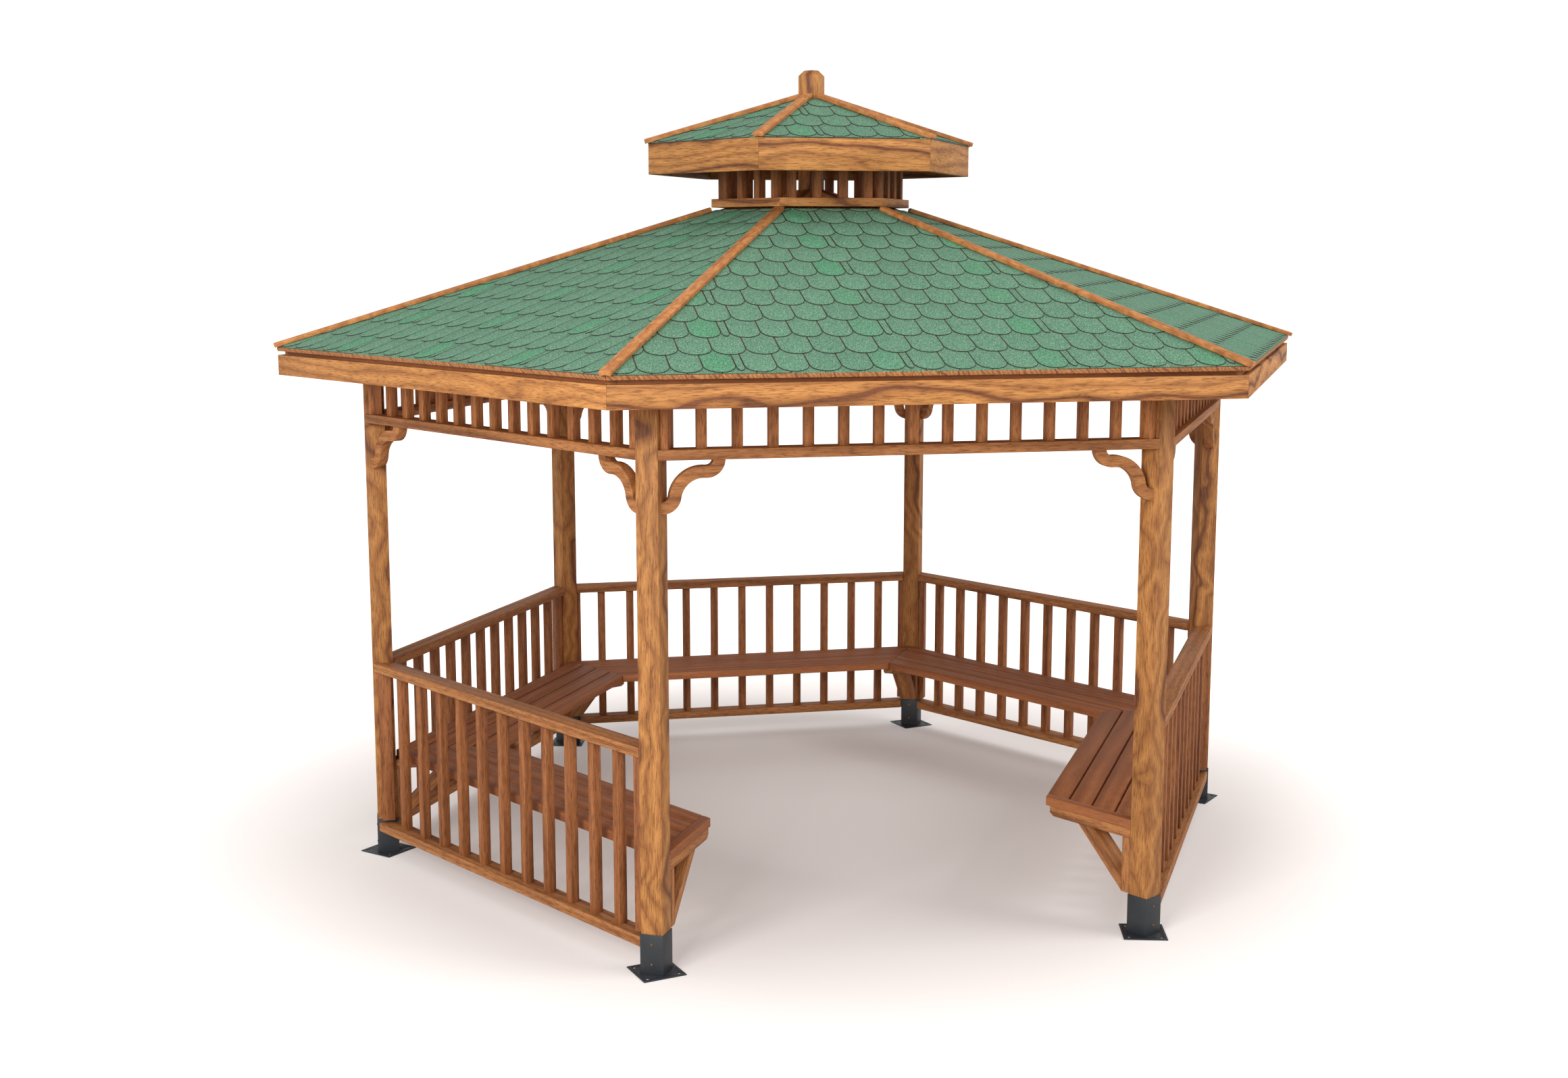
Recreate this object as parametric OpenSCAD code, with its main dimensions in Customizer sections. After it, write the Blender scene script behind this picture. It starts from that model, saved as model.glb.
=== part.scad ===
// Hexagonal wooden gazebo: six square posts in steel shoes, railings and
// benches on five sides, an open entrance at the front, and a shingled roof
// with a small lantern and cupola on top.
// Millimetres, +Z up. The origin is on the ground at the centre of the plan.
// The entrance faces -Y; posts stand at 0, 60, 120, 180, 240 and 300 degrees.

/* [Plan] */
// distance from the centre to the middle of each post
ring_r = 2000; // [1800:10:2300]
// side of a square post
post_w = 90; // [80:1:110]

/* [Post shoes] */
// height of a shoe's rim above the ground
shoe_top = 164; // [154:1:174]
// wall of the steel tube
shoe_wall = 2.5; // [2:0.5:4]
// clearance between the post and the tube on each face
shoe_fit = 0.5; // [0.3:0.1:1]
// thickness of the base plate
plate_t = 5; // [4:1:10]
// side of the square base plate, which stands corner to the centre
plate_w = 177; // [165:1:200]
// distance from the post's middle to each anchor hole
anchor_r = 93; // [84:1:94]
// diameter of an anchor hole
anchor_d = 16; // [9:1:18]
// diameter of a screw hole in the tube
screw_d = 6; // [5:0.5:8]
// heights of the lower screw hole
screw_low = 45; // [35:1:60]
// height of the upper screw hole
screw_high = 125; // [100:1:140]

/* [Railings] */
// top of the handrail above the ground
rail_top = 895; // [850:5:1000]
// thickness of the handrail, the bottom rail and the frieze rails
rail_t = 40; // [35:1:50]
// width of a rail across the railing
rail_d = 88; // [70:1:100]
// top of the bottom rail above the ground
low_rail_top = 147; // [140:1:155]
// side of a square baluster or slat
bar_w = 38; // [30:1:42]
// depth to which the balusters and slats are housed in the rails
housing = 10; // [6:1:14]
// spacing of the balusters
baluster_pitch = 160; // [150:1:164]
// balusters in one railing
baluster_n = 11; // [9:1:11]
// width of the flat stud screwed to a post, along the post's face
stud_w = 57; // [45:1:66]
// thickness of that stud
stud_t = 33; // [25:1:35]
// setback of the stud from the post's outer face
stud_back = 22; // [16:1:22]

/* [Benches] */
// top of the seat above the ground
seat_top = 474; // [440:1:500]
// distance from the centre to the seat's inner edge
seat_in = 1286; // [1250:1:1320]
// thickness of a seat plank
plank_t = 38; // [30:1:45]
// planks in a seat
plank_n = 4; // [3:1:5]
// gap between two planks
plank_gap = 9; // [5:1:12]
// gap between the plank ends of two benches
plank_joint = 2; // [1:0.5:4]
// thickness of a bench bracket's three pieces
strut_t = 40; // [35:1:45]
// clearance between the shoe's rim and the bracket's foot
strut_gap = 1; // [0.5:0.5:10]
// distance from the centre to the end of a bracket's arm
arm_in = 1532; // [1510:1:1560]
// bevel under the end of the arm
arm_bevel = 21; // [10:1:25]

/* [Frieze] */
// top of the lower frieze rail above the ground
frieze_z = 2028; // [1980:1:2060]
// spacing of the frieze slats
frieze_pitch = 135.7; // [130:0.1:137]
// slats in one frieze panel, without the studs
frieze_n = 13; // [11:1:13]
// thickness of a scroll bracket
scroll_t = 45; // [30:1:50]
// width of a scroll bracket's band
scroll_band = 46; // [35:1:50]

/* [Main roof] */
// distance from the centre to a corner of the eaves
eave_r = 2407; // [2380:1:2460]
// height of the roof boards' underside at the eaves
eave_z = 2307; // [2290:1:2340]
// slope of the roof panels in degrees
pitch = 19.4; // [18.5:0.1:21]
// thickness of the roof boards
deck_t = 16; // [14:1:22]
// joint between the boards of two roof sides
panel_joint = 0.5; // [0.5:0.5:3]
// thickness of the shingle covering
shingle_t = 5; // [4:0.5:8]
// open line between the shingles of two roof sides, under the hip cap
hip_line = 4; // [2:1:10]
// height of the fascia board
fascia_h = 88; // [75:1:100]
// thickness of the fascia boards
fascia_t = 28; // [20:1:35]
// open gap between the fascia and the roof boards
fascia_gap = 16; // [12:1:20]
// thickness of the batten behind the fascia, which closes that gap
batten_t = 22; // [16:1:30]
// width of a hip rafter
rafter_w = 45; // [38:1:60]
// upright depth of a hip rafter
rafter_h = 94; // [80:1:100]
// width of each leg of a hip cap
cap_w = 21; // [16:1:45]
// thickness of a hip cap
cap_t = 18; // [14:1:24]
// overhang of a hip cap beyond the corner of the eaves
cap_over = 12; // [5:1:16]

/* [Lantern and cupola] */
// distance from the centre to a corner of the lantern's base ring
lantern_r = 467; // [440:1:500]
// height of the base ring
lantern_t = 38; // [30:1:45]
// width of the base ring in plan
lantern_w = 80; // [70:1:90]
// rise of the ring's underside above the roof boards' underside
lantern_lift = 38; // [36:1:42]
// spacing of the lantern slats
lantern_pitch = 115; // [110:1:118]
// setback of the slats from the ring's outer face
slat_back = 19; // [15:1:22]
// open height between the base ring and the cupola's fascia
lantern_gap = 108; // [90:1:130]
// distance from the centre to a corner of the cupola
cupola_r = 754; // [720:1:800]
// height of the cupola's fascia
cupola_h = 121; // [100:1:135]
// slope of the cupola's panels in degrees
cupola_pitch = 18.8; // [18:0.1:21]
// distance from the centre to a corner of the eight-sided king post
king_r = 61; // [55:1:66]
// height of the finial above the cupola's hips
finial_h = 104; // [80:1:150]
// bevel round the finial's top
finial_bevel = 26; // [15:1:30]

/* [Hidden] */
hip = tan(pitch) * cos(30);
hip_a = atan(hip);
eave_v = eave_r * cos(30);
outer_v = (ring_r + post_w / 2) * cos(30) + post_w / 2 * sin(30);
mid_v = outer_v - rail_d / 2;
shoe_w = post_w + 2 * shoe_fit + 2 * shoe_wall;
post_in = ring_r - post_w / 2;
strut_foot = shoe_top + strut_gap;
seat_out = post_in * cos(30) - 1;
plank_w = (seat_out - seat_in - (plank_n - 1) * plank_gap) / plank_n;
arm_top = seat_top - plank_t;
rafter_drop = rafter_w / 2 * tan(pitch) * sin(30);
head_top = rafter_low(ring_r + post_w / 2);
lantern_v = lantern_r * cos(30);
lantern_z = deck_low(lantern_v) + lantern_lift;
lantern_top = lantern_z + lantern_t;
slat_v = lantern_v - slat_back - bar_w / 2;
cupola_v = cupola_r * cos(30);
cupola_low = lantern_top + lantern_gap;
cupola_eave = cupola_low + cupola_h;
king_low = 2 * rafter_low(king_r) - rafter_top(king_r) + 30;
hip_top = cupola_eave + (cupola_r - king_r) * tan(cupola_pitch) * cos(30)
        + (deck_t + shingle_t + cap_t) / cos(cupola_pitch);
king_top = hip_top + finial_h;
scroll_in = 84.5;
scroll_end = 70;
bench_sides = [30, 90, 150, 210, 330];
wood = [0.66, 0.42, 0.24];
dark_wood = [0.48, 0.30, 0.20];
cap_wood = [0.76, 0.48, 0.26];
green = [0.36, 0.60, 0.47];
steel = [0.24, 0.25, 0.27];

// underside of the main roof boards at a distance v along a side's normal
function deck_low(v) = eave_z + (eave_v - v) * tan(pitch);

// underside of the cupola's boards at a distance v along a side's normal
function cupola_deck(v) = cupola_eave + (cupola_v - v) * tan(cupola_pitch);

// top and underside of a hip rafter at a distance r along a corner's radius
function rafter_top(r) = eave_z + (eave_r - r) * hip - rafter_drop;
function rafter_low(r) = rafter_top(r) - rafter_h;

// half length of a bay at a distance v, between the side faces of two uprights
// of width w
function bay_u(v, w = post_w) = v * tan(30) - w / 2 / cos(30);

// turns a piece drawn for the back side, facing +Y, to face another way
module side(a) {
    rotate([0, 0, a - 90])
        children();
}

// plan of a rail, its ends cut to the side faces of two uprights of width w
module rail_plan(w) {
    v0 = mid_v - rail_d / 2;
    v1 = mid_v + rail_d / 2;
    polygon([[-bay_u(v0, w), v0], [bay_u(v0, w), v0], [bay_u(v1, w), v1],
             [-bay_u(v1, w), v1]]);
}

// a rail with its top at a height z
module rail(z, w) {
    translate([0, 0, z - rail_t])
        linear_extrude(rail_t)
            rail_plan(w);
}

// plan of one sixth of the roof, drawn for the back side and drawn in from
// both hips by an inset
module sector(v, inset) {
    h = v - inset / sin(30);
    translate([0, inset / sin(30)])
        polygon([[0, 0], [h * tan(30), h], [-h * tan(30), h]]);
}

// a square post, its top cut to the slope of the hip rafter
module post(a) {
    color(wood)
        rotate([0, 0, a])
            intersection() {
                translate([ring_r - post_w / 2, -post_w / 2, plate_t])
                    cube([post_w, post_w, 2 * head_top]);
                translate([0, post_w, 0])
                    rotate([90, 0, 0])
                        linear_extrude(2 * post_w)
                            polygon([[ring_r - post_w, 0],
                                [ring_r + post_w, 0],
                                [ring_r + post_w, rafter_low(ring_r + post_w)],
                                [ring_r - post_w, rafter_low(ring_r - post_w)]]);
            }
}

// the six steel shoes: a square tube welded to a plate with four anchor holes
module post_shoes() {
    color(steel)
        for (a = [0:60:300])
            rotate([0, 0, a])
                translate([ring_r, 0, 0])
                    shoe();
}

module shoe() {
    difference() {
        union() {
            rotate([0, 0, 45])
                translate([-plate_w / 2, -plate_w / 2, 0])
                    cube([plate_w, plate_w, plate_t]);
            translate([-shoe_w / 2, -shoe_w / 2, 0])
                cube([shoe_w, shoe_w, shoe_top]);
        }
        translate([-post_w / 2 - shoe_fit, -post_w / 2 - shoe_fit, plate_t])
            cube([post_w + 2 * shoe_fit, post_w + 2 * shoe_fit, shoe_top]);
        for (k = [0:90:270])
            rotate([0, 0, k])
                translate([anchor_r, 0, -1])
                    cylinder(d = anchor_d, h = plate_t + 2, $fn = 48);
        for (z = [screw_low, screw_high])
            translate([-shoe_w / 2 - 1, 0, z])
                rotate([0, 90, 0])
                    cylinder(d = screw_d, h = shoe_w + 2, $fn = 32);
    }
}

// the flat studs on the two posts of a bay, between two rails; a low one is
// notched to clear the shoe
module bay_studs(z0, z1) {
    for (s = [0, 1])
        mirror([s, 0, 0])
            rotate([0, 0, 60])
                translate([ring_r + post_w / 2 - stud_back - stud_w, 0, 0])
                    difference() {
                        translate([0, post_w / 2, z0 - housing / 2])
                            cube([stud_w, stud_t, z1 - z0 + housing]);
                        translate([-1, -1, -1])
                            cube([stud_w + 2, shoe_w / 2 + 1,
                                  shoe_top + 1]);
                    }
}

// a row of square bars
module bar_row(n, step, v, z0, z1) {
    for (i = [0:n - 1])
        translate([(i - (n - 1) / 2) * step - bar_w / 2, v - bar_w / 2, z0])
            cube([bar_w, bar_w, z1 - z0]);
}

// the bars and studs between two rails, the bars housed in both
module infill(n, step, z0, z1) {
    bar_row(n, step, mid_v, z0 - housing, z1 + housing);
    bay_studs(z0, z1);
}

// one railing: handrail, bottom rail, balusters and a stud at each post
module railing(a) {
    color(wood)
        side(a) {
            rail(rail_top, post_w);
            rail(low_rail_top, shoe_w);
            infill(baluster_n, baluster_pitch, low_rail_top,
                   rail_top - rail_t);
        }
}

// one frieze panel: lower rail, head rail, slats and a stud at each post
module frieze(a) {
    color(wood)
        side(a) {
            rail(frieze_z, post_w);
            rail(head_top, post_w);
            infill(frieze_n, frieze_pitch, frieze_z, head_top - rail_t);
        }
}

// one seat: planks mitred at the two posts' centre lines
module bench(a) {
    color(dark_wood)
        side(a)
            translate([0, 0, arm_top])
                linear_extrude(plank_t)
                    for (i = [0:plank_n - 1]) {
                        v = seat_in + i * (plank_w + plank_gap);
                        seat_plank(v, v + plank_w);
                    }
}

module seat_plank(v0, v1) {
    e = plank_joint / 2 / cos(30);
    polygon([[-v0 * tan(30) + e, v0], [v0 * tan(30) - e, v0],
             [v1 * tan(30) - e, v1], [-v1 * tan(30) + e, v1]]);
}

// the two trims that close the seats at the entrance posts
module bench_end_trims() {
    color(dark_wood)
        for (s = [0, 1])
            mirror([s, 0, 0])
                rotate([0, 0, 300])
                    translate([0, 0, arm_top])
                        linear_extrude(plank_t)
                            polygon([[seat_in / cos(30)
                                      + plank_joint / 2 * tan(30),
                                      -plank_joint / 2],
                                [post_in, -plank_joint / 2],
                                [post_in, -post_w / 2],
                                [seat_in / cos(30) + post_w / 2 * tan(30),
                                 -post_w / 2]]);
}

// the six bench brackets: an arm, a leg on the post and a diagonal brace
module bench_brackets() {
    low = arm_top - strut_t;
    leg = post_in - strut_t;
    run = leg - arm_in - 155;
    cut = strut_t / sin(45);
    color(wood)
        for (a = [0:60:300])
            rotate([0, 0, a])
                translate([0, post_w / 2, 0])
                    rotate([90, 0, 0])
                        linear_extrude(post_w) {
                            polygon([[arm_in, arm_top], [post_in, arm_top],
                                [post_in, low], [arm_in + arm_bevel, low],
                                [arm_in, low + arm_bevel - 5]]);
                            translate([leg, strut_foot])
                                square([strut_t, low - strut_foot]);
                            polygon([[leg - run, low], [leg - run + cut, low],
                                [leg, low - run + cut], [leg, low - run]]);
                        }
}

// a sector of a ring in the plane, from angle a0 to angle a1
module ring_sector(r0, r1, a0, a1) {
    m = (a0 + a1) / 2;
    intersection() {
        difference() {
            circle(r = r1, $fn = 96);
            circle(r = r0, $fn = 96);
        }
        polygon([[0, 0], 2 * r1 * [cos(a0), sin(a0)],
                 3 * r1 * [cos(m), sin(m)], 2 * r1 * [cos(a1), sin(a1)]]);
    }
}

// outline of a scroll bracket: an S of three arcs, from the rail to the post;
// x runs away from the post and y is down from the rail's underside
module scroll_outline() {
    ce = scroll_end - scroll_band;
    d = scroll_in + scroll_end;
    c1 = [175, 0];
    c2 = c1 + d * [-sin(4.9), cos(4.9)];
    c3 = c2 - d * [cos(7.8), sin(7.8)];
    translate(c1)
        ring_sector(ce, scroll_end, 0, 95.2);
    translate(c2)
        ring_sector(scroll_in, scroll_in + scroll_band, 187.4, 275.3);
    translate(c3)
        ring_sector(ce, scroll_end, 7.5, 112);
}

// the twelve scroll brackets, two under each frieze
module scroll_brackets() {
    x0 = bay_u(mid_v + scroll_t / 2);
    color(wood)
        for (a = [30:60:330])
            side(a)
                for (s = [0, 1])
                    mirror([s, 0, 0])
                        intersection() {
                            translate([x0, mid_v + scroll_t / 2,
                                       frieze_z - rail_t])
                                rotate([90, 0, 0])
                                    linear_extrude(scroll_t)
                                        scale([-1, -1])
                                            scroll_outline();
                            linear_extrude(frieze_z)
                                rail_plan(post_w);
                        }
}

// the fascia: six boards mitred into a ring round the rafter ends
module hex_ring(r, t, z0, h) {
    translate([0, 0, z0])
        difference() {
            cylinder(r = r, h = h, $fn = 6);
            translate([0, 0, -1])
                cylinder(r = r - t / cos(30), h = h + 2, $fn = 6);
        }
}

module eave_fascia() {
    color(wood)
        hex_ring(eave_r, fascia_t, eave_z - fascia_gap - fascia_h, fascia_h);
}

// the battens behind the fascia, from rafter to rafter, up to the roof boards
module eave_battens() {
    v1 = eave_v - fascia_t;
    v0 = v1 - batten_t;
    low = eave_z - fascia_gap - fascia_h / 2;
    color(dark_wood)
        for (a = [30:60:330])
            side(a)
                translate([0, 0, low])
                    linear_extrude(deck_low(v1) - low)
                        polygon([[-bay_u(v0, rafter_w), v0],
                            [bay_u(v0, rafter_w), v0],
                            [bay_u(v1, rafter_w), v1],
                            [-bay_u(v1, rafter_w), v1]]);
}

// the six hip rafters, from the fascia's corners over the posts to the king post
module hip_rafters() {
    far = eave_r - 10;
    color(dark_wood)
        difference() {
            intersection() {
                for (a = [0:60:300])
                    rotate([0, 0, a])
                        translate([0, rafter_w / 2, 0])
                            rotate([90, 0, 0])
                                linear_extrude(rafter_w)
                                    polygon([[king_r * 0.8,
                                              rafter_low(king_r * 0.8)],
                                        [far, rafter_low(far)],
                                        [far, rafter_top(far)],
                                        [king_r * 0.8,
                                         rafter_top(king_r * 0.8)]]);
                cylinder(r = eave_r - fascia_t / cos(30), h = 2 * eave_z,
                         $fn = 6);
            }
            cylinder(r = king_r, h = 2 * eave_z, $fn = 8);
        }
}

// one panel of roof boards, square-edged at the eaves and flat on top where
// the lantern's ring rests
module roof_boards(a) {
    v_in = lantern_v - lantern_w + 5;
    run = (eave_v - v_in) / cos(pitch);
    color(dark_wood)
        side(a)
            intersection() {
                roof_slab(eave_v, eave_z, pitch, 0, deck_t, run);
                linear_extrude(lantern_z)
                    sector(eave_v + deck_t, panel_joint / 2);
            }
}

// a slab of a given thickness and length up a slope, drawn for the back side
module roof_slab(v, z, slope, lift, t, run) {
    translate([0, v, z])
        rotate([-slope, 0, 0])
            translate([-v, -run, lift])
                cube([2 * v, run, t]);
}

// the shingle covering of the main roof, one sheet on each side
module roof_shingles() {
    run = (eave_v - lantern_v + 20) / cos(pitch);
    color(green)
        for (a = [30:60:330])
            side(a)
                intersection() {
                    roof_slab(eave_v, eave_z, pitch, deck_t, shingle_t, run);
                    linear_extrude(2 * eave_z)
                        sector(eave_v + deck_t, hip_line / 2);
                }
}

// section of a hip cap: two boards meeting at the hip
module cap_section(slope) {
    b = atan(tan(slope) * sin(30) * cos(atan(tan(slope) * cos(30))));
    for (s = [0, 1])
        mirror([s, 0])
            polygon([[0, 0], cap_w * [cos(b), -sin(b)],
                [cap_w * cos(b) + cap_t * sin(b),
                 -cap_w * sin(b) + cap_t * cos(b)], [0, cap_t / cos(b)]]);
}

// a hip cap laid along a corner's radius, from just outside the eaves inwards
module hip_cap(r, z, slope, len) {
    translate([r, 0, z + (deck_t + shingle_t) / cos(slope)])
        rotate([0, atan(tan(slope) * cos(30)), 0])
            translate([cap_over, 0, 0])
                rotate([90, 0, -90])
                    linear_extrude(len)
                        cap_section(slope);
}

// the six caps of the main roof, ended at the lantern's base ring
module hip_caps() {
    color(cap_wood)
        difference() {
            for (a = [0:60:300])
                rotate([0, 0, a])
                    hip_cap(eave_r, eave_z, pitch, eave_r - lantern_r + 90);
            cylinder(r = lantern_r, h = 2 * eave_z, $fn = 6);
        }
}

// the lantern's base ring
module lantern_ring() {
    color(wood)
        hex_ring(lantern_r, lantern_w, lantern_z, lantern_t);
}

// the 24 lantern slats, cut off at the underside of the cupola's boards
module lantern_slats() {
    v0 = slat_v - bar_w;
    v1 = slat_v + bar_w;
    color(wood)
        for (a = [30:60:330])
            side(a)
                intersection() {
                    bar_row(4, lantern_pitch, slat_v, lantern_top,
                            cupola_deck(v0));
                    translate([-lantern_v, 0, 0])
                        rotate([90, 0, 90])
                            linear_extrude(2 * lantern_v)
                                polygon([[v0, lantern_z], [v1, lantern_z],
                                    [v1, cupola_deck(v1)],
                                    [v0, cupola_deck(v0)]]);
                }
}

// the cupola's fascia, six boards mitred into a ring, up to the shingles
module cupola_fascia() {
    color(wood)
        hex_ring(cupola_r, fascia_t, cupola_low,
                 cupola_h + deck_t / cos(cupola_pitch));
}

// a layer of the cupola's roof, in six pieces round the king post, out to v
module cupola_layer(v, lift, t, inset) {
    difference() {
        for (a = [30:60:330])
            side(a)
                intersection() {
                    roof_slab(cupola_v, cupola_eave, cupola_pitch, lift, t,
                              cupola_v / cos(cupola_pitch));
                    linear_extrude(2 * cupola_eave)
                        sector(v, inset);
                }
        cylinder(r = king_r, h = 2 * cupola_eave, $fn = 8);
    }
}

module cupola_roof() {
    color(dark_wood)
        cupola_layer(cupola_v - fascia_t, 0, deck_t, panel_joint / 2);
}

module cupola_shingles() {
    color(green)
        cupola_layer(cupola_v + deck_t, deck_t, shingle_t, hip_line / 2);
}

// the six caps of the cupola, ended at the king post
module cupola_hip_caps() {
    color(cap_wood)
        difference() {
            for (a = [0:60:300])
                rotate([0, 0, a])
                    hip_cap(cupola_r, cupola_eave, cupola_pitch, cupola_r);
            cylinder(r = king_r, h = 2 * cupola_eave, $fn = 8);
        }
}

// the king post: carried by the hip rafters, its bevelled top shows as the
// finial
module king_post() {
    w = king_r * cos(22.5);
    h = king_top - king_low;
    c = finial_bevel;
    color(wood)
        translate([0, 0, king_low])
            intersection_for (a = [22.5:45:157.5])
                rotate([0, 0, a])
                    translate([0, king_r, 0])
                        rotate([90, 0, 0])
                            linear_extrude(2 * king_r)
                                polygon([[-w, 0], [w, 0], [w, h - c],
                                    [w - c, h], [c - w, h], [-w, h - c]]);
}

post(0);  // post_right
post(60);  // post_back_right
post(120);  // post_back_left
post(180);  // post_left
post(240);  // post_front_left
post(300);  // post_front_right
post_shoes();
railing(330);  // railing_front_right
railing(30);  // railing_back_right
railing(90);  // railing_back
railing(150);  // railing_back_left
railing(210);  // railing_front_left
bench(330);  // bench_front_right
bench(30);  // bench_back_right
bench(90);  // bench_back
bench(150);  // bench_back_left
bench(210);  // bench_front_left
bench_end_trims();
bench_brackets();
frieze(270);  // frieze_front
frieze(330);  // frieze_front_right
frieze(30);  // frieze_back_right
frieze(90);  // frieze_back
frieze(150);  // frieze_back_left
frieze(210);  // frieze_front_left
scroll_brackets();
eave_fascia();
eave_battens();
hip_rafters();
roof_boards(270);  // roof_front
roof_boards(330);  // roof_front_right
roof_boards(30);  // roof_back_right
roof_boards(90);  // roof_back
roof_boards(150);  // roof_back_left
roof_boards(210);  // roof_front_left
roof_shingles();
hip_caps();
lantern_ring();
lantern_slats();
cupola_fascia();
cupola_roof();
cupola_shingles();
cupola_hip_caps();
king_post();
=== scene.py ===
import math
import random

import bpy
import numpy
from mathutils import Matrix, Vector


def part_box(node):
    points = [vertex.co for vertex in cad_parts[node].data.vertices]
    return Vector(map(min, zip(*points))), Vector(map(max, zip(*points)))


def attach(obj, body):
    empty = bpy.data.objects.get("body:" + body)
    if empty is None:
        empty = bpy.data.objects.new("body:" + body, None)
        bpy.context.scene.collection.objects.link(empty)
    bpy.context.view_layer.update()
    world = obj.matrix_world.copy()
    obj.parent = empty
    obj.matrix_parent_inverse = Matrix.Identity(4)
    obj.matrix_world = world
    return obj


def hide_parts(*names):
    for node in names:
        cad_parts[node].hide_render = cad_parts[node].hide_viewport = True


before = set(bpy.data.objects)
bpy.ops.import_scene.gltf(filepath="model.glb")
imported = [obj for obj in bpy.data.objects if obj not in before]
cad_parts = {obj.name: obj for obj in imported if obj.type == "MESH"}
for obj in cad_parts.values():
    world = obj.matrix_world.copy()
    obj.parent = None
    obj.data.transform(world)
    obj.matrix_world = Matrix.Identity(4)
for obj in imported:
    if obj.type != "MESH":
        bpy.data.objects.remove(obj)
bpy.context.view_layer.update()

chance = random.Random(11)


# ---------------------------------------------------------------- posts
# Six planed softwood posts, 90 mm square, stand on the corners of the plan.
# Their edges are eased, and their tops are cut to the slope of the roof. The
# oil brings out a wide wavy figure.

CORNERS = {"right": 0, "back_right": 60, "back_left": 120,
           "left": 180, "front_left": 240, "front_right": 300}
SIDES = {"front": 270, "front_right": 330, "back_right": 30,
         "back": 90, "back_left": 150, "front_left": 210}
CLOSED_SIDES = [side for side in SIDES if side != "front"]
LEAN = math.radians(30)
HALF_BAY = math.tan(LEAN)

post_low, post_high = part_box("post_right")
POST_W = post_high[0] - post_low[0]
POST_R = (post_high[0] + post_low[0]) / 2
POST_TOP = post_high[2]
PITCH = math.radians(19.4)
HIP_SLOPE = math.atan(math.tan(PITCH) * math.cos(LEAN))
SAW_SPARE = 0.1
JOINT = 0.0002
POST_EASE = 0.002


def at_corner(angle):
    """Turns a piece drawn on +X, the right-hand post's radius, to a corner."""
    return Matrix.Rotation(math.radians(angle), 4, "Z")


def at_side(angle):
    """Turns a piece drawn for the back side, facing +Y, to another side."""
    return Matrix.Rotation(math.radians(angle - 90), 4, "Z")


def move(x=0.0, y=0.0, z=0.0):
    """A move in metres."""
    return Matrix.Translation((x, y, z))


def turn(degrees, axis):
    """A turn about one axis through the origin."""
    return Matrix.Rotation(math.radians(degrees), 4, axis)


def only(piece):
    """Selects one piece and nothing else."""
    bpy.ops.object.select_all(action="DESELECT")
    piece.select_set(True)
    bpy.context.view_layer.objects.active = piece


def saw(piece, point, direction):
    """Saws a piece along a plane; the side of the direction drops off."""
    only(piece)
    bpy.ops.object.mode_set(mode="EDIT")
    bpy.ops.mesh.select_all(action="SELECT")
    bpy.ops.mesh.bisect(plane_co=point, plane_no=direction, use_fill=True,
                        clear_outer=True)
    bpy.ops.object.mode_set(mode="OBJECT")


def ease(piece, width, steps=2):
    """Takes the sharpness off the edges of a piece."""
    only(piece)
    edges = piece.modifiers.new("eased_edges", "BEVEL")
    edges.width = width
    edges.segments = steps
    edges.angle_limit = math.radians(35)
    bpy.ops.object.modifier_apply(modifier=edges.name)


def mark_grain(piece):
    """Keeps each point's place on its own board, with the grain along X."""
    mesh = piece.data
    spots = numpy.empty(len(mesh.vertices) * 3)
    mesh.vertices.foreach_get("co", spots)
    grain = mesh.attributes.new("grain", "FLOAT_VECTOR", "POINT")
    grain.data.foreach_set("vector", spots)


def mitre(end, out):
    """Cuts for both ends of a board whose outer edge is 2 * end long.

    out is how far the outer edge lies from the board's middle, along Y.
    """
    return [((hand * end, out, 0),
             (hand * math.cos(LEAN), -math.sin(LEAN), 0))
            for hand in (1, -1)]


def timber(name, length, width, depth, easing, cuts=()):
    """Planes a timber along X, centred, with sawn ends where cuts ask."""
    bpy.ops.object.select_all(action="DESELECT")
    bpy.ops.mesh.primitive_cube_add(size=1)
    piece = bpy.context.object
    piece.name = name
    piece.scale = (length, width, depth)
    bpy.ops.object.transform_apply(location=False, rotation=False, scale=True)
    for point, direction in cuts:
        saw(piece, point, direction)
    ease(piece, easing)
    mark_grain(piece)
    return piece


def another(piece, place):
    """Puts one more of a piece in place, cut from a board of its own."""
    more = piece.copy()
    more.data = piece.data.copy()
    more.data.transform(place)
    bpy.context.collection.objects.link(more)
    grain = more.data.attributes.get("grain")
    if grain:
        spots = numpy.empty(len(grain.data) * 3)
        grain.data.foreach_get("vector", spots)
        board = [chance.uniform(-40, 40) for axis in range(3)]
        spots = spots.reshape(-1, 3) + board
        grain.data.foreach_set("vector", spots.ravel())
    return more


def put_away(*pieces):
    """Removes the patterns that the finished copies were made from."""
    for piece in pieces:
        bpy.data.objects.remove(piece)


def joined(pieces):
    """Makes one piece of several."""
    bpy.ops.object.select_all(action="DESELECT")
    for piece in pieces:
        piece.select_set(True)
    bpy.context.view_layer.objects.active = pieces[0]
    if len(pieces) > 1:
        bpy.ops.object.join()
    return bpy.context.view_layer.objects.active


def assemble(name, pieces, finish, slot, *nodes):
    """Joins fixed pieces into one, gives it its finish and stands it in."""
    whole = joined(pieces)
    whole.name = name
    if finish:
        whole.data.materials.clear()
        whole.data.materials.append(finish)
    only(whole)
    bpy.ops.object.shade_smooth_by_angle(angle=math.radians(40))
    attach(whole, "root")
    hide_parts(*nodes)


def node_of(nodes, kind, **values):
    """Adds a material node and sets its plain properties."""
    node = nodes.new(kind)
    for key, value in values.items():
        setattr(node, key, value)
    return node


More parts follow.
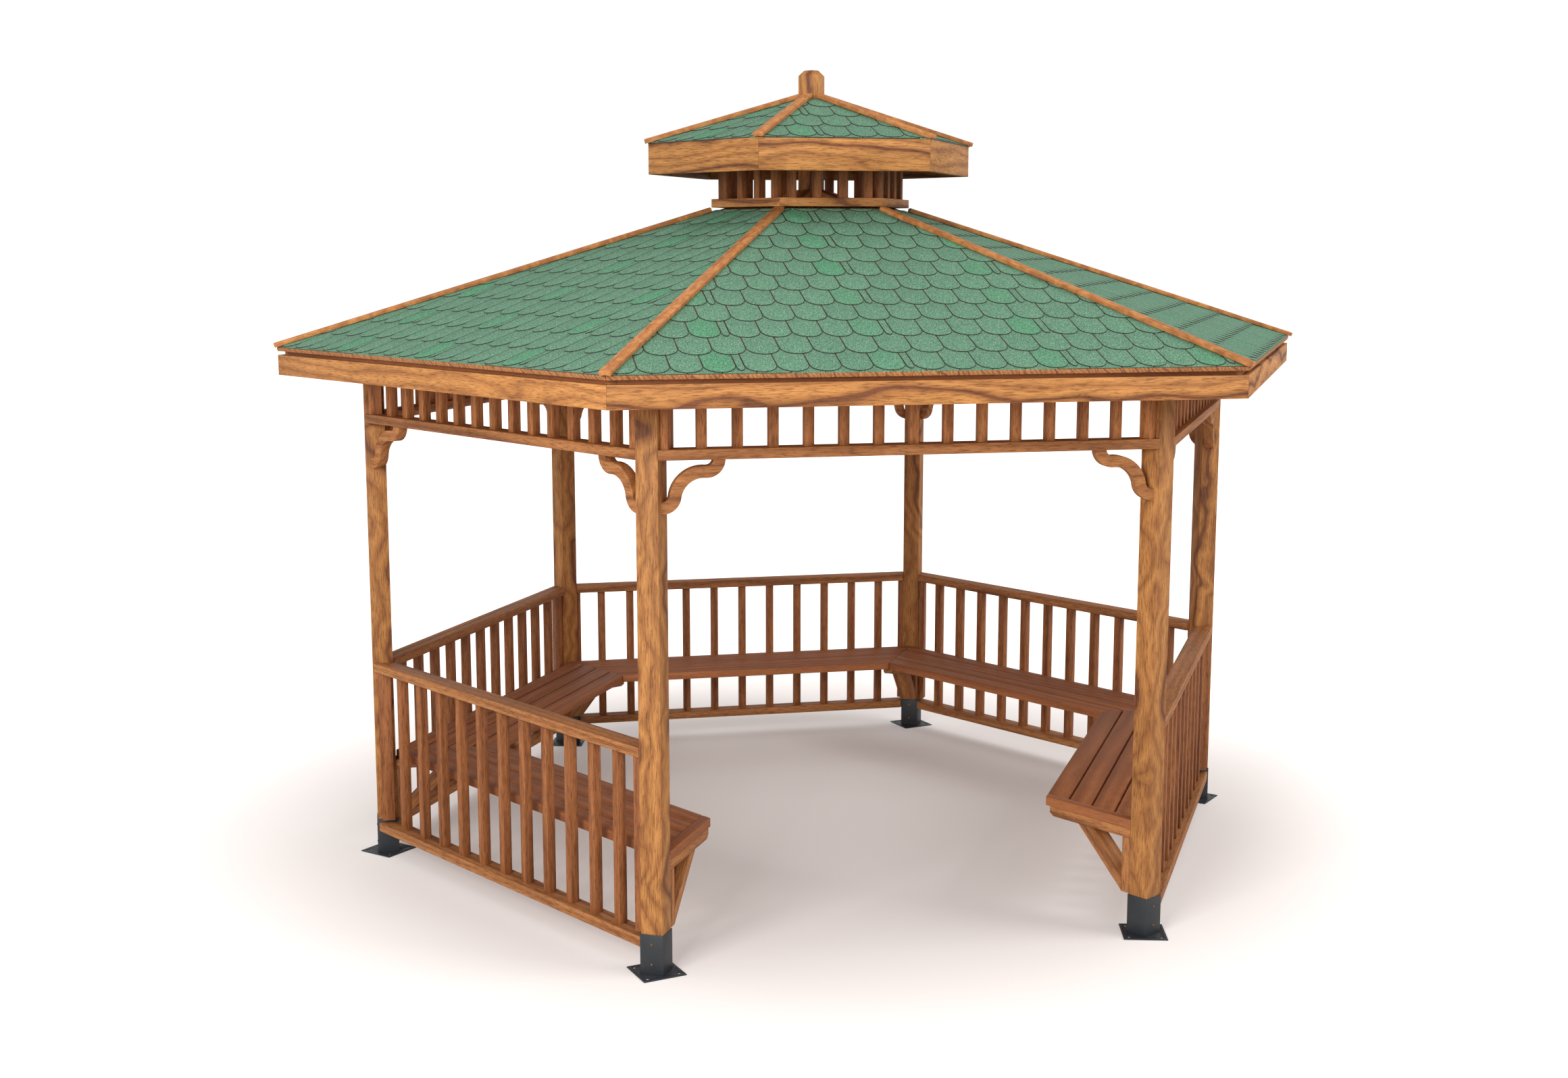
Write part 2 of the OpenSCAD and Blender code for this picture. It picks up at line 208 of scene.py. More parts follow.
def stretched_noise(tree, source, stretch, detail, twist=0.0):
    """A noise drawn out along the board, in waves per metre."""
    nodes, links = tree.nodes, tree.links
    scale = node_of(nodes, "ShaderNodeMapping")
    scale.inputs["Scale"].default_value = stretch
    noise = node_of(nodes, "ShaderNodeTexNoise")
    noise.inputs["Scale"].default_value = 1.0
    noise.inputs["Detail"].default_value = detail
    noise.inputs["Roughness"].default_value = 0.5
    noise.inputs["Distortion"].default_value = twist
    links.new(source, scale.inputs["Vector"])
    links.new(scale.outputs["Vector"], noise.inputs["Vector"])
    return noise.outputs["Fac"]


def ramp_of(tree, source, stops):
    """A colour ramp from a list of (place, colour)."""
    ramp = node_of(tree.nodes, "ShaderNodeValToRGB")
    band = ramp.color_ramp
    while len(band.elements) < len(stops):
        band.elements.new(1.0)
    for element, (place, colour) in zip(band.elements, stops):
        element.position = place
        element.color = (*colour, 1.0)
    tree.links.new(source, ramp.inputs["Fac"])
    return ramp.outputs["Color"]


def tint(tree, mode, amount, below, above):
    """Lays one colour over another; amount is a number or a socket."""
    mix = node_of(tree.nodes, "ShaderNodeMix", data_type="RGBA",
                  blend_type=mode)
    if isinstance(amount, float):
        mix.inputs[0].default_value = amount
    else:
        tree.links.new(amount, mix.inputs[0])
    tree.links.new(below, mix.inputs[6])
    tree.links.new(above, mix.inputs[7])
    return mix.outputs[2]


def oiled_timber(name, pale, mid, dark, bands, sway, figure, contrast=1.0,
                 fine=0.95):
    """Oiled softwood: swaying bands, a soft figure, fibres and dark pores.

    bands is how many bands there are per metre across the board, sway how
    far they wander, and figure how fast they do so along and across it;
    fine is the strength of the fibres.
    """
    finish = bpy.data.materials.new(name)
    finish.use_nodes = True
    tree = finish.node_tree
    links = tree.links
    shader = tree.nodes["Principled BSDF"]
    grain = node_of(tree.nodes, "ShaderNodeAttribute", attribute_name="grain")
    board = grain.outputs["Vector"]
    across = node_of(tree.nodes, "ShaderNodeVectorMath",
                     operation="DOT_PRODUCT")
    across.inputs[1].default_value = (0.0, bands, bands * 0.8)
    links.new(board, across.inputs[0])
    wander = node_of(tree.nodes, "ShaderNodeMath", operation="MULTIPLY_ADD")
    wander.inputs[1].default_value = sway
    links.new(stretched_noise(tree, board, figure, 2.0, 0.3),
              wander.inputs[0])
    links.new(across.outputs["Value"], wander.inputs[2])
    waves = node_of(tree.nodes, "ShaderNodeMath", operation="PINGPONG")
    waves.inputs[1].default_value = 1.0
    links.new(wander.outputs[0], waves.inputs[0])
    streak = [mid[i] + (dark[i] - mid[i]) * contrast for i in range(3)]
    edge = [mid[i] + (dark[i] - mid[i]) * contrast * 0.45 for i in range(3)]
    wood = ramp_of(tree, waves.outputs[0],
                   [(0.0, pale), (0.22, mid), (0.34, edge), (0.40, mid),
                    (0.62, pale), (0.80, mid), (0.90, edge), (0.95, streak),
                    (1.0, streak)])
    cloud = stretched_noise(tree, board, (2.0, 16.0, 16.0), 3.0)
    tone = ramp_of(tree, cloud, [(0.3, (0.84, 0.81, 0.78)),
                                 (0.7, (1.14, 1.13, 1.10))])
    wood = tint(tree, "MULTIPLY", 0.9, wood, tone)
    fibre = stretched_noise(tree, board, (22.0, 250.0, 250.0), 2.0)
    thread = ramp_of(tree, fibre, [(0.34, (0.60, 0.55, 0.50)),
                                   (0.48, (1.0, 1.0, 1.0)),
                                   (0.66, (1.16, 1.17, 1.15))])
    wood = tint(tree, "MULTIPLY", fine, wood, thread)
    pore = stretched_noise(tree, board, (50.0, 420.0, 420.0), 1.0)
    speck = ramp_of(tree, pore, [(0.28, (0.52, 0.46, 0.42)),
                                 (0.36, (1.0, 1.0, 1.0))])
    wood = tint(tree, "MULTIPLY", 0.8, wood, speck)
    links.new(wood, shader.inputs["Base Color"])
    sheen = node_of(tree.nodes, "ShaderNodeMapRange")
    sheen.inputs["To Min"].default_value = 0.50
    sheen.inputs["To Max"].default_value = 0.68
    links.new(fibre, sheen.inputs["Value"])
    links.new(sheen.outputs["Result"], shader.inputs["Roughness"])
    shader.inputs["Specular IOR Level"].default_value = 0.3
    relief = node_of(tree.nodes, "ShaderNodeBump")
    relief.inputs["Strength"].default_value = 0.4
    relief.inputs["Distance"].default_value = 0.0008
    links.new(fibre, relief.inputs["Height"])
    links.new(relief.outputs["Normal"], shader.inputs["Normal"])
    return finish


post_finish = oiled_timber("oiled_post", (0.47, 0.212, 0.062),
                           (0.365, 0.150, 0.043), (0.180, 0.066, 0.025),
                           9.0, 3.4, (3.0, 2.5, 2.5))

POST_FOOT = post_low[2]
post_length = POST_TOP - POST_FOOT
post = timber("post", post_length, POST_W, POST_W, POST_EASE,
              [((post_length / 2, 0, -POST_W / 2),
                (1, 0, -math.tan(HIP_SLOPE)))])
upright = move(POST_R, 0, POST_FOOT + post_length / 2) @ turn(-90, "Y")
for corner, angle in CORNERS.items():
    one = another(post, at_corner(angle) @ upright)
    assemble("timber_post_" + corner, [one], post_finish, "timber",
             "post_" + corner)
put_away(post)


# ---------------------------------------------------------------- post shoes
# Each post stands in a square steel tube welded to a base plate that lies
# corner to the centre. Both are powder coated in anthracite, and brass screws
# hold the post through the tube's outer and inner faces, two to a face.

SHOE_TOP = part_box("post_shoes")[1][2]
SHOE_W = 0.096
PLATE_W = 0.177
PLATE_T = 0.005
ANCHOR_R = 0.093
HOLE_R = 0.008
TUBE_WALL = 0.0028
TUBE_DEPTH = 0.12
SCREW_R = 0.0048
SCREW_HEAD = 0.003
SCREW_PROUD = 0.0009
SLOT_L = 0.0062
SLOT_W = 0.0011
PLATE_EDGE = 0.0012
HOLE_EDGE = 0.0009
TUBE_EDGE = 0.0014
SCREW_EDGE = 0.0012
SCREW_HEIGHTS = (0.045, 0.125)


def plain_finish(name, colour, roughness):
    """A finish of one colour, which its own nodes are then added to."""
    finish = bpy.data.materials.new(name)
    finish.use_nodes = True
    shader = finish.node_tree.nodes["Principled BSDF"]
    shader.inputs["Base Color"].default_value = (*colour, 1.0)
    shader.inputs["Roughness"].default_value = roughness
    return finish


def powder_coat(name, colour):
    """A fine-textured matt coat, a little dusty."""
    finish = plain_finish(name, colour, 0.5)
    tree = finish.node_tree
    shader = tree.nodes["Principled BSDF"]
    place = node_of(tree.nodes, "ShaderNodeTexCoord").outputs["Object"]
    dust = stretched_noise(tree, place, (9.0, 9.0, 14.0), 4.0)
    shade = ramp_of(tree, dust, [(0.3, [c * 0.85 for c in colour]),
                                 (0.7, [c * 1.25 for c in colour])])
    tree.links.new(shade, shader.inputs["Base Color"])
    skin = stretched_noise(tree, place, (1400.0, 1400.0, 1400.0), 2.0)
    relief = node_of(tree.nodes, "ShaderNodeBump")
    relief.inputs["Strength"].default_value = 0.25
    relief.inputs["Distance"].default_value = 0.0003
    tree.links.new(skin, relief.inputs["Height"])
    tree.links.new(relief.outputs["Normal"], shader.inputs["Normal"])
    return finish


steel_finish = powder_coat("anthracite_powder_coat", (0.021, 0.025, 0.030))
brass_finish = powder_coat("brass_screw", (0.30, 0.15, 0.05))
brass_finish.node_tree.nodes["Principled BSDF"].inputs[
    "Metallic"].default_value = 0.9


def cut_out(piece, cutter):
    """Cuts one piece's shape out of another."""
    only(piece)
    hole = piece.modifiers.new("hole", "BOOLEAN")
    hole.operation = "DIFFERENCE"
    hole.object = cutter
    bpy.ops.object.modifier_apply(modifier=hole.name)


plate = timber("base_plate", PLATE_W, PLATE_W, PLATE_T, PLATE_EDGE)
for quarter in range(4):
    bpy.ops.object.select_all(action="DESELECT")
    bpy.ops.mesh.primitive_cylinder_add(vertices=24, radius=HOLE_R,
                                        depth=10 * PLATE_T)
    drill = bpy.context.object
    drill.data.transform(turn(45 + 90 * quarter, "Z") @ move(ANCHOR_R))
    cut_out(plate, drill)
    put_away(drill)
ease(plate, HOLE_EDGE)
plate.data.transform(move(0, 0, PLATE_T / 2) @ turn(45, "Z"))

bpy.ops.object.select_all(action="DESELECT")
bpy.ops.mesh.primitive_cube_add(size=1)
tube = bpy.context.object
tube.scale = (SHOE_W, SHOE_W, SHOE_TOP - PLATE_T)
tube.location = (0, 0, (SHOE_TOP + PLATE_T) / 2)
bpy.ops.object.transform_apply(location=True, rotation=False, scale=True)
bpy.ops.object.mode_set(mode="EDIT")
bpy.ops.mesh.select_mode(type="FACE")
bpy.ops.mesh.select_all(action="DESELECT")
bpy.ops.object.mode_set(mode="OBJECT")
for face in tube.data.polygons:
    face.select = face.normal.z > 0.9
bpy.ops.object.mode_set(mode="EDIT")
bpy.ops.mesh.inset(thickness=TUBE_WALL)
bpy.ops.mesh.extrude_region_move(
    TRANSFORM_OT_translate={"value": (0, 0, -TUBE_DEPTH)})
bpy.ops.object.mode_set(mode="OBJECT")
ease(tube, TUBE_EDGE)

bpy.ops.object.select_all(action="DESELECT")
bpy.ops.mesh.primitive_cylinder_add(vertices=20, radius=SCREW_R,
                                    depth=SCREW_HEAD)
screw = bpy.context.object
ease(screw, SCREW_EDGE)
bpy.ops.object.select_all(action="DESELECT")
bpy.ops.mesh.primitive_cube_add(size=1)
slot_blade = bpy.context.object
slot_blade.data.transform(Matrix.Diagonal((SLOT_L, SLOT_W, 0.002, 1))
                          @ move(0, 0, 0.6))
cut_out(screw, slot_blade)
slot_blade.data.transform(turn(90, "Z"))
cut_out(screw, slot_blade)
put_away(slot_blade)

steel_parts = []
screw_parts = []
for angle in CORNERS.values():
    stand = at_corner(angle) @ move(POST_R)
    steel_parts += [another(plate, stand), another(tube, stand)]
    for height in SCREW_HEIGHTS:
        for face in (0, 180):
            seat = turn(face, "Z") @ move(SHOE_W / 2 + SCREW_PROUD, 0, height)
            screw_parts.append(another(screw, stand @ seat @ turn(90, "Y")))
put_away(plate, tube, screw)
assemble("steel_post_shoes", steel_parts, steel_finish, "steel", "post_shoes")
assemble("brass_shoe_screws", screw_parts, brass_finish, "steel",
         "post_shoes")


# ---------------------------------------------------------------- railings
# Five railings of planed softwood. The handrail and the bottom rail have
# eased edges, rounded outer corners and a double groove along the outer face;
# the square balusters are housed in both.

rail_low, rail_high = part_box("railing_back")
RAIL_OUT = rail_high[1]
RAIL_D = 0.088
RAIL_MID = RAIL_OUT - RAIL_D / 2
RAIL_T = 0.040
BAR_W = 0.038
RAIL_TOP = rail_high[2]
LOW_RAIL_TOP = rail_low[2] + RAIL_T
STUD_W = 0.057
STUD_T = 0.033
STUD_BACK = 0.022
STUD_SUNK = 0.004
BALUSTERS = 11
BALUSTER_STEP = 0.160
HOUSED = 0.005
RAIL_ROUND = 0.012
RAIL_EASE = 0.004
BAR_EASE = 0.003
GROOVES = ((-0.0155, -0.018), (-0.022, -0.0245))
GROOVE_DEPTH = 0.0018

rail_finish = oiled_timber("oiled_rail", (0.43, 0.183, 0.062),
                           (0.36, 0.144, 0.047), (0.19, 0.070, 0.027),
                           16.0, 1.6, (1.2, 8.0, 8.0), 0.8)
bar_finish = oiled_timber("oiled_bar", (0.34, 0.128, 0.043),
                          (0.28, 0.098, 0.031), (0.16, 0.052, 0.018),
                          18.0, 1.6, (1.8, 8.0, 8.0), 0.7)
slat_finish = oiled_timber("oiled_slat", (0.46, 0.185, 0.062),
                           (0.39, 0.145, 0.047), (0.22, 0.075, 0.026),
                           18.0, 1.6, (1.8, 8.0, 8.0), 0.6)


def bay_end(v, upright_w):
    """Half the clear length of a bay at a distance v from the centre."""
    return v * HALF_BAY - upright_w / 2 / math.cos(LEAN)


def grooved_rail(name, upright_w):
    """A rail along X at its distance from the centre, top at z = 0."""
    end = bay_end(RAIL_OUT, upright_w)
    bpy.ops.object.select_all(action="DESELECT")
    bpy.ops.mesh.primitive_cube_add(size=1)
    rail = bpy.context.object
    rail.name = name
    rail.scale = (2 * (end + SAW_SPARE), RAIL_D, RAIL_T)
    rail.location = (0, RAIL_MID, -RAIL_T / 2)
    bpy.ops.object.transform_apply(location=True, rotation=False, scale=True)
    for point, direction in mitre(end, RAIL_OUT):
        saw(rail, point, direction)
    bpy.ops.object.mode_set(mode="EDIT")
    bpy.ops.mesh.select_mode(type="EDGE")
    bpy.ops.mesh.select_all(action="DESELECT")
    bpy.ops.object.mode_set(mode="OBJECT")
    for edge in rail.data.edges:
        a, b = (rail.data.vertices[i].co for i in edge.vertices)
        edge.select = abs(a.z - b.z) > RAIL_T / 2 and a.y > RAIL_OUT - JOINT
    bpy.ops.object.mode_set(mode="EDIT")
    bpy.ops.mesh.bevel(offset=RAIL_ROUND, segments=5)
    bpy.ops.object.mode_set(mode="OBJECT")
    ease(rail, RAIL_EASE, 3)
    for height in [edge for groove in GROOVES for edge in groove]:
        only(rail)
        bpy.ops.object.mode_set(mode="EDIT")
        bpy.ops.mesh.select_all(action="SELECT")
        bpy.ops.mesh.bisect(plane_co=(0, 0, height), plane_no=(0, 0, 1))
        bpy.ops.object.mode_set(mode="OBJECT")
    bpy.ops.object.mode_set(mode="EDIT")
    bpy.ops.mesh.select_mode(type="FACE")
    bpy.ops.mesh.select_all(action="DESELECT")
    bpy.ops.object.mode_set(mode="OBJECT")
    for face in rail.data.polygons:
        face.select = face.normal.y > 0.9 and any(
            low < face.center.z < high for high, low in GROOVES)
    bpy.ops.object.mode_set(mode="EDIT")
    bpy.ops.mesh.extrude_region_move(
        TRANSFORM_OT_translate={"value": (0, -GROOVE_DEPTH, 0)})
    bpy.ops.object.mode_set(mode="OBJECT")
    mark_grain(rail)
    return rail


def bars(count, step, v, middle):
    """The places of a row of upright bars along a side."""
    return [move((i - (count - 1) / 2) * step, v, middle) @ turn(90, "Y")
            for i in range(count)]


def studs(middle, angle):
    """The places of the two flat studs on the posts of a bay."""
    places = []
    for post_angle, hand in ((angle - 30, 1), (angle + 30, -1)):
        seat = move(POST_R + POST_W / 2 - STUD_BACK - STUD_W / 2,
                    hand * (POST_W / 2 + STUD_T / 2), middle)
        places.append(at_corner(post_angle) @ seat @ turn(90, "Y"))
    return places


handrail = grooved_rail("handrail", POST_W)
bottom_rail = grooved_rail("bottom_rail", SHOE_W)
clear_height = RAIL_TOP - RAIL_T - LOW_RAIL_TOP
baluster = timber("baluster", clear_height + 2 * HOUSED, BAR_W, BAR_W,
                  BAR_EASE)
stud = timber("stud", RAIL_TOP - RAIL_T - SHOE_TOP + STUD_SUNK, STUD_T,
              STUD_W, BAR_EASE)
middle = (LOW_RAIL_TOP + RAIL_TOP - RAIL_T) / 2
stud_middle = (SHOE_TOP + RAIL_TOP - RAIL_T) / 2
for side in CLOSED_SIDES:
    here = at_side(SIDES[side])
    rails = [another(handrail, here @ move(0, 0, RAIL_TOP)),
             another(bottom_rail, here @ move(0, 0, LOW_RAIL_TOP))]
    uprights = [another(baluster, here @ place) for place
                in bars(BALUSTERS, BALUSTER_STEP, RAIL_MID, middle)]
    uprights += [another(stud, place)
                 for place in studs(stud_middle, SIDES[side])]
    assemble("rails_" + side, rails, rail_finish, "timber", "railing_" + side)
    assemble("balusters_" + side, uprights, bar_finish, "timber",
             "railing_" + side)
put_away(handrail, bottom_rail, baluster, stud)


# ---------------------------------------------------------------- friezes
# Under the eaves each side has a slatted frieze between a lower rail and a
# head rail hidden by the fascia. It is made as the railings are, with closer
# slats and plain rails.

frieze_low, frieze_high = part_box("frieze_back")
FRIEZE_LOW = frieze_low[2]
FRIEZE_TOP = frieze_high[2]
SLATS = 13
SLAT_STEP = 0.1357

frieze_end = bay_end(RAIL_OUT, POST_W)
frieze_rail = timber("frieze_rail", 2 * frieze_end + SAW_SPARE, RAIL_D,
                     RAIL_T, RAIL_EASE, mitre(frieze_end, RAIL_D / 2))
frieze_rail.data.transform(move(0, RAIL_MID, 0))
slat_height = FRIEZE_TOP - FRIEZE_LOW - 2 * RAIL_T
slat = timber("slat", slat_height + 2 * HOUSED, BAR_W, BAR_W, BAR_EASE)
slat_stud = timber("slat_stud", slat_height + STUD_SUNK, STUD_T, STUD_W,
                   BAR_EASE)
middle = (FRIEZE_LOW + FRIEZE_TOP) / 2
for side, angle in SIDES.items():
    here = at_side(angle)
    rails = [another(frieze_rail, here @ move(0, 0, height)) for height
             in (FRIEZE_LOW + RAIL_T / 2, FRIEZE_TOP - RAIL_T / 2)]
    uprights = [another(slat, here @ place) for place
                in bars(SLATS, SLAT_STEP, RAIL_MID, middle)]
    uprights += [another(slat_stud, place)
                 for place in studs(middle, angle)]
    assemble("frieze_rails_" + side, rails, rail_finish, "timber",
             "frieze_" + side)
    assemble("frieze_slats_" + side, uprights, slat_finish, "timber",
             "frieze_" + side)
put_away(frieze_rail, slat, slat_stud)


# ---------------------------------------------------------------- scrolls
# Two band-sawn scroll brackets brace each frieze against its posts. Each is
# an S of even width, 45 mm thick, with eased edges.

SCROLL_T = 0.045
SCROLL_BAND = 0.046
SCROLL_OUT = 0.070
SCROLL_IN = 0.0845
FIRST_X = 0.175
FIRST_BEND = math.radians(4.9)
SECOND_TILT = math.radians(7.8)
SWEEPS = (-94.9, 87.1, -108)


def turned(piece, centre, degrees):
    """Sweeps the selected end of a scroll round a centre."""
    only(piece)
    bpy.ops.object.mode_set(mode="EDIT")
    bpy.ops.mesh.spin(steps=max(3, round(abs(degrees) / 6)),
                      angle=math.radians(degrees), center=centre,
                      axis=(0, 1, 0))
    bpy.ops.object.mode_set(mode="OBJECT")


first = Vector((FIRST_X, 0, 0))
second = first + (SCROLL_IN + SCROLL_OUT) * Vector(
    (-math.sin(FIRST_BEND), 0, -math.cos(FIRST_BEND)))
third = second - (SCROLL_IN + SCROLL_OUT) * Vector(
    (math.cos(SECOND_TILT), 0, -math.sin(SECOND_TILT)))
bpy.ops.object.select_all(action="DESELECT")
bpy.ops.mesh.primitive_plane_add(size=1)
scroll = bpy.context.object
scroll.name = "scroll"
scroll.scale = (SCROLL_BAND, SCROLL_T, 1)
scroll.location = first + Vector((SCROLL_OUT - SCROLL_BAND / 2, 0, 0))
bpy.ops.object.transform_apply(location=True, rotation=False, scale=True)
bpy.ops.object.mode_set(mode="EDIT")
bpy.ops.mesh.select_mode(type="EDGE")
bpy.ops.mesh.select_all(action="SELECT")
bpy.ops.mesh.delete(type="ONLY_FACE")
bpy.ops.mesh.select_all(action="SELECT")
bpy.ops.object.mode_set(mode="OBJECT")
for centre, degrees in zip((first, second, third), SWEEPS):
    turned(scroll, centre, degrees)
only(scroll)
bpy.ops.object.mode_set(mode="EDIT")
bpy.ops.mesh.select_all(action="SELECT")
bpy.ops.mesh.remove_doubles(threshold=0.0001)
bpy.ops.mesh.fill_holes(sides=4)
bpy.ops.mesh.select_all(action="SELECT")
bpy.ops.mesh.normals_make_consistent(inside=False)
bpy.ops.object.mode_set(mode="OBJECT")
saw(scroll, (0, 0, -JOINT), (0, 0, 1))
ease(scroll, BAR_EASE)
mark_grain(scroll)
scroll_parts = []
foot = bay_end(RAIL_MID + SCROLL_T / 2, POST_W)
for angle in SIDES.values():
    for hand in (1, -1):
        spot = move(-foot, RAIL_MID, FRIEZE_LOW)
        flip = Matrix.Diagonal((hand, 1, 1, 1))
        one = another(scroll, spot)
        saw(one, (-foot, RAIL_MID + SCROLL_T / 2, 0),
            (-math.cos(LEAN), -math.sin(LEAN), 0))
        one.data.transform(at_side(angle) @ flip)
        if hand < 0:
            one.data.flip_normals()
        scroll_parts.append(one)
put_away(scroll)
assemble("scroll_brackets_sawn", scroll_parts, rail_finish, "timber",
         "scroll_brackets")


# ---------------------------------------------------------------- benches
# A seat of four planed planks runs inside each railing, mitred over the
# bracket at every post. A short board closes the seats at the entrance.

seat_low, seat_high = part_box("bench_back")
SEAT_TOP = seat_high[2]
SEAT_T = seat_high[2] - seat_low[2]
SEAT_IN = seat_low[1]
SEAT_OUT = seat_high[1]
PLANK_GAP = 0.009
PLANKS = 4
PLANK_W = (SEAT_OUT - SEAT_IN - (PLANKS - 1) * PLANK_GAP) / PLANKS
MITRE_GAP = 0.001
SEAT_EASE = 0.003

seat_finish = oiled_timber("oiled_seat", (0.37, 0.135, 0.048),
                           (0.31, 0.106, 0.037), (0.19, 0.062, 0.022),
                           11.0, 1.4, (0.8, 6.0, 6.0), 0.35, 0.45)
for side in CLOSED_SIDES:
    planks = []
    for i in range(PLANKS):
        v = SEAT_IN + i * (PLANK_W + PLANK_GAP) + PLANK_W / 2
        end = (v + PLANK_W / 2) * HALF_BAY - MITRE_GAP / math.cos(LEAN)
        plank = timber("plank", 2 * end + SAW_SPARE, PLANK_W, SEAT_T,
                       SEAT_EASE, mitre(end, PLANK_W / 2))
        here = at_side(SIDES[side]) @ move(0, v, SEAT_TOP - SEAT_T / 2)
        planks.append(another(plank, here))
        put_away(plank)
    assemble("seat_" + side, planks, seat_finish, "seat_timber",
             "bench_" + side)

POST_IN = POST_R - POST_W / 2
corner_r = SEAT_IN / math.cos(LEAN)
trim_length = POST_IN - corner_r
trims = []
for hand in (1, -1):
    trim = timber("end_trim", trim_length, POST_W / 2 - MITRE_GAP, SEAT_T,
                  SEAT_EASE, [((-trim_length / 2, hand * POST_W / 4, 0),
                               (-math.cos(LEAN), -hand * math.sin(LEAN),
                                0))])
    where = move((POST_IN + corner_r) / 2,
                 -hand * (POST_W / 4 + MITRE_GAP / 2), SEAT_TOP - SEAT_T / 2)
    trims.append(another(trim, at_corner(270 + 30 * hand) @ where))
    put_away(trim)
assemble("seat_end_trims", trims, seat_finish, "seat_timber",
         "bench_end_trims")


# ---------------------------------------------------------------- brackets
# Each post carries the seats on a bracket of three 90 x 40 mm timbers: an
# arm with a bevelled end, a leg on the post and a diagonal brace.

STRUT_T = 0.040
ARM_TOP = SEAT_TOP - SEAT_T
STRUT_EASE = 0.003
ARM_IN = 1.532
ARM_BEVEL = 0.021
BRACE_IN = 1.687
LEG_FOOT = 0.165
leg_in = POST_IN - STRUT_T
brace_run = leg_in - BRACE_IN

arm_length = POST_IN - ARM_IN
arm = timber("arm", arm_length, POST_W, STRUT_T, STRUT_EASE,
             [((-arm_length / 2 + ARM_BEVEL, 0, -STRUT_T / 2),
               (-0.7, 0, -1.0))])
arm.data.transform(move(POST_IN - arm_length / 2, 0, ARM_TOP - STRUT_T / 2))
leg_length = ARM_TOP - STRUT_T - LEG_FOOT
leg = timber("leg", leg_length, POST_W, STRUT_T, STRUT_EASE)
leg.data.transform(move(POST_IN - STRUT_T / 2, 0, LEG_FOOT + leg_length / 2)
                   @ turn(90, "Y"))
brace_length = (brace_run + STRUT_T) * math.sqrt(2)
brace = timber("brace", brace_length + SAW_SPARE, POST_W, STRUT_T,
               STRUT_EASE)
brace_shift = STRUT_T * 0.35 - brace_run / 2
brace.data.transform(move(leg_in + brace_shift, 0,
                          ARM_TOP - STRUT_T + brace_shift) @ turn(45, "Y"))
saw(brace, (0, 0, ARM_TOP - STRUT_T), (0, 0, 1))
saw(brace, (leg_in, 0, 0), (1, 0, 0))
bracket_parts = [another(piece, at_corner(angle))
                 for angle in CORNERS.values() for piece in (arm, leg, brace)]
put_away(arm, leg, brace)
assemble("seat_brackets", bracket_parts, rail_finish, "timber",
         "bench_brackets")


# ---------------------------------------------------------------- fascias
# Six boards, mitred at the corners, close the rafter ends at the eaves, with
# a batten behind each between the rafters. The cupola has the same ring.

fascia_low, fascia_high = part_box("eave_fascia")
cupola_low, cupola_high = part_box("cupola_fascia")
FASCIA_T = 0.028
FASCIA_EASE = 0.0015
BATTEN_T = 0.022
BATTEN_EASE = 0.001
RAFTER_W = 0.045

fascia_finish = oiled_timber("oiled_fascia", (0.54, 0.245, 0.074),
                             (0.43, 0.180, 0.053), (0.18, 0.064, 0.025),
                             15.0, 3.0, (1.2, 4.0, 4.0))


def board_ring(name, low, high, node):
    """Six mitred boards round the centre, between two heights."""
    end = high[1] * HALF_BAY - JOINT
    board = timber("board", 2 * end + SAW_SPARE, FASCIA_T, high[2] - low[2],
                   FASCIA_EASE, mitre(end, FASCIA_T / 2))
    middle = (low[2] + high[2]) / 2
    parts = [another(board, at_side(angle)
                     @ move(0, high[1] - FASCIA_T / 2, middle))
             for angle in SIDES.values()]
    put_away(board)
    assemble(name, parts, fascia_finish, "timber", node)


batten_low, batten_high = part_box("eave_battens")
batten_out = fascia_high[1] - FASCIA_T
batten_end = bay_end(batten_out, RAFTER_W)
batten = timber("batten", 2 * batten_end + SAW_SPARE, BATTEN_T,
                batten_high[2] - batten_low[2], BATTEN_EASE,
                mitre(batten_end, BATTEN_T / 2))
battens = [another(batten, at_side(angle)
                   @ move(0, batten_out - BATTEN_T / 2,
                          (batten_low[2] + batten_high[2]) / 2))
           for angle in SIDES.values()]
put_away(batten)
assemble("battens_at_eaves", battens, seat_finish, "roof_timber",
         "eave_battens")

board_ring("eave_boards", fascia_low, fascia_high, "eave_fascia")
board_ring("cupola_boards", cupola_low, cupola_high, "cupola_fascia")


# ---------------------------------------------------------------- roof boards
# Each roof side is decked with 100 mm tongue-and-groove boards that run up
# the slope, so their end grain shows at the eaves. Six hip rafters carry them.

deck_finish = oiled_timber("roof_board_timber", (0.46, 0.205, 0.072),
                           (0.37, 0.148, 0.052), (0.18, 0.065, 0.026),
                           34.0, 2.2, (1.4, 12.0, 12.0), 0.9)
BOARD_W = 0.1003
BOARD_SEAM = 0.0006
BOARD_EASE = 0.0015
DECK_T = 0.016
DECK_GAP = 0.0003
eave_low, eave_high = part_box("roof_back")
EAVE_V = fascia_high[1]
EAVE_Z = eave_low[2]
LANTERN_Z = eave_high[2]
LANTERN_IN = 0.3294


def cut_at_hips(side, gap):
    """Saws a roof side, drawn for the back, a little short of both hips."""
    for hand in (1, -1):
        away = Vector((hand * math.cos(LEAN), -math.sin(LEAN), 0))
        saw(side, away * -gap, away)


